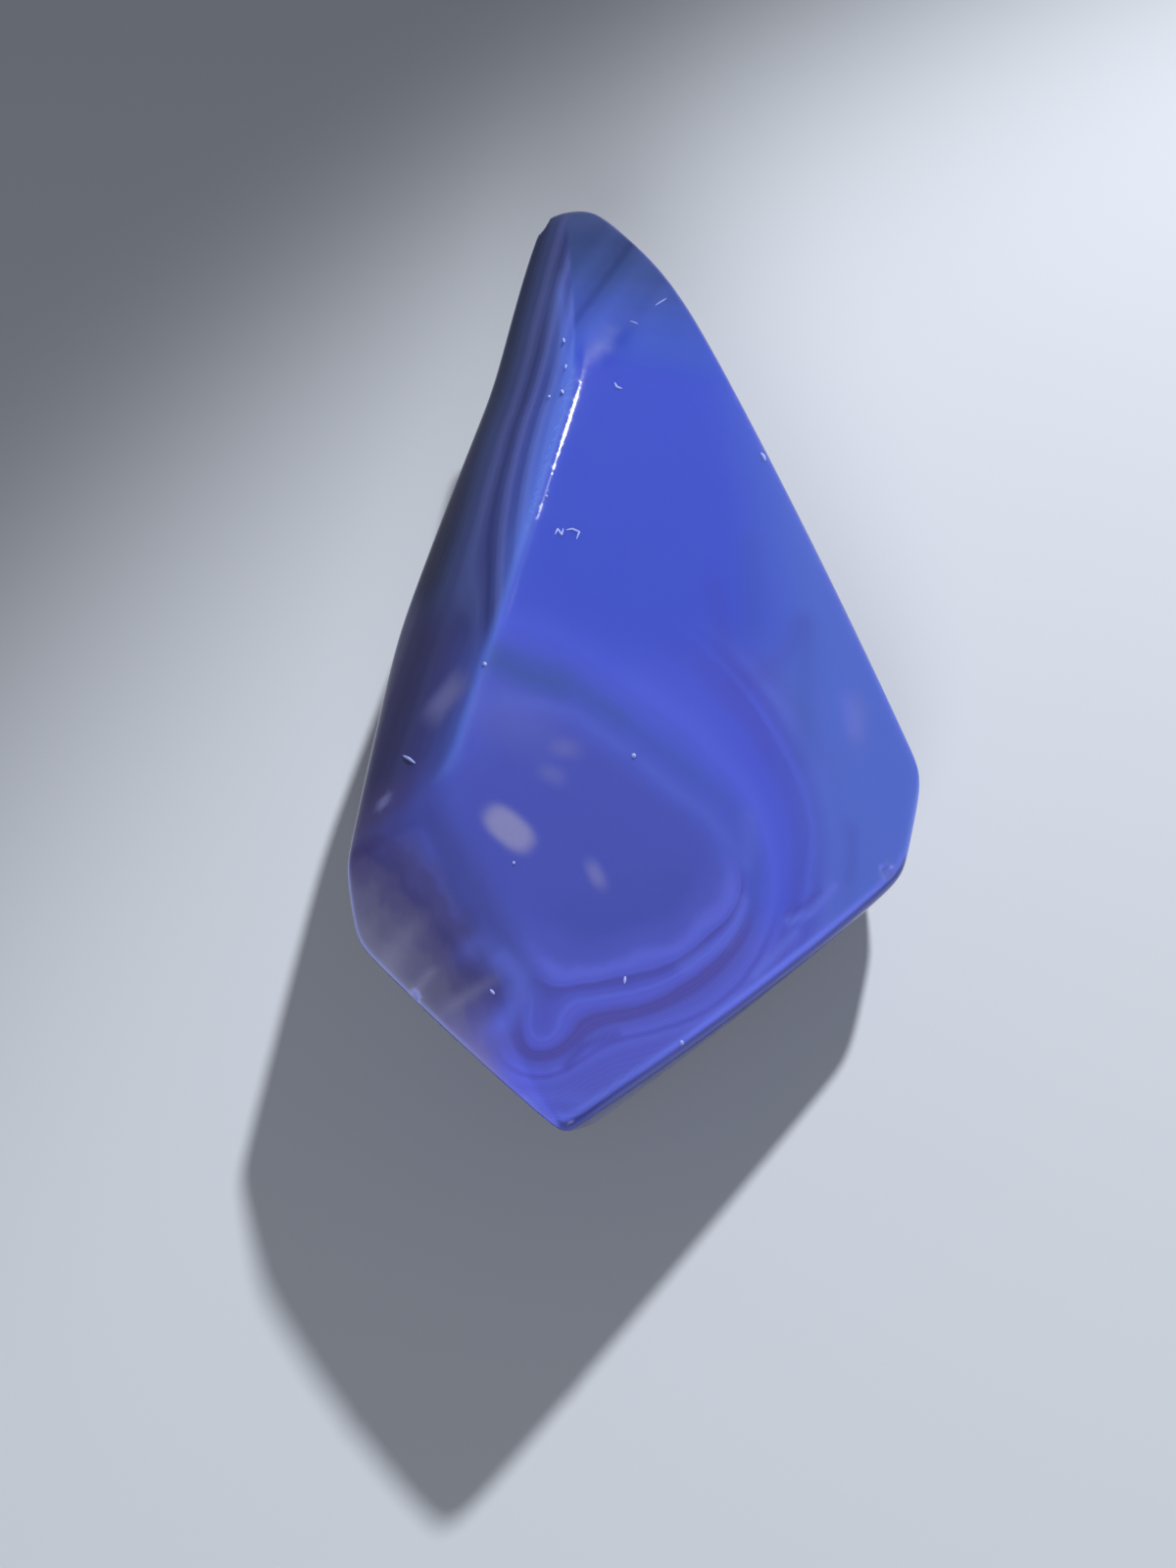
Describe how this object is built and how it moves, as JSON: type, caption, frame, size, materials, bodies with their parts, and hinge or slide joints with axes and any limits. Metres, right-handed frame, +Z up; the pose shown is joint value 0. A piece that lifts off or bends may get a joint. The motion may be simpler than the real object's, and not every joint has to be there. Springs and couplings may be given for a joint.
{
  "type": "polished chalcedony stone",
  "caption": "Hand-cut, polished freeform stone with a broad sloping face, a crisp ridge, a pointed tip and a flat base to lie on.",
  "frame": {"origin": "middle of the bounding box at the flat base", "axes": "+Z up from the flat base, +Y along the stone from its foot to its pointed tip, +X towards the low corner of the main face"},
  "size_m": [0.0328, 0.0663, 0.0183],
  "materials": {
    "purple_chalcedony": "polished, translucent, faintly banded"
  },
  "bodies": {
    "root": {"purple_chalcedony": "purple_chalcedony"}
  },
  "joints": []
}
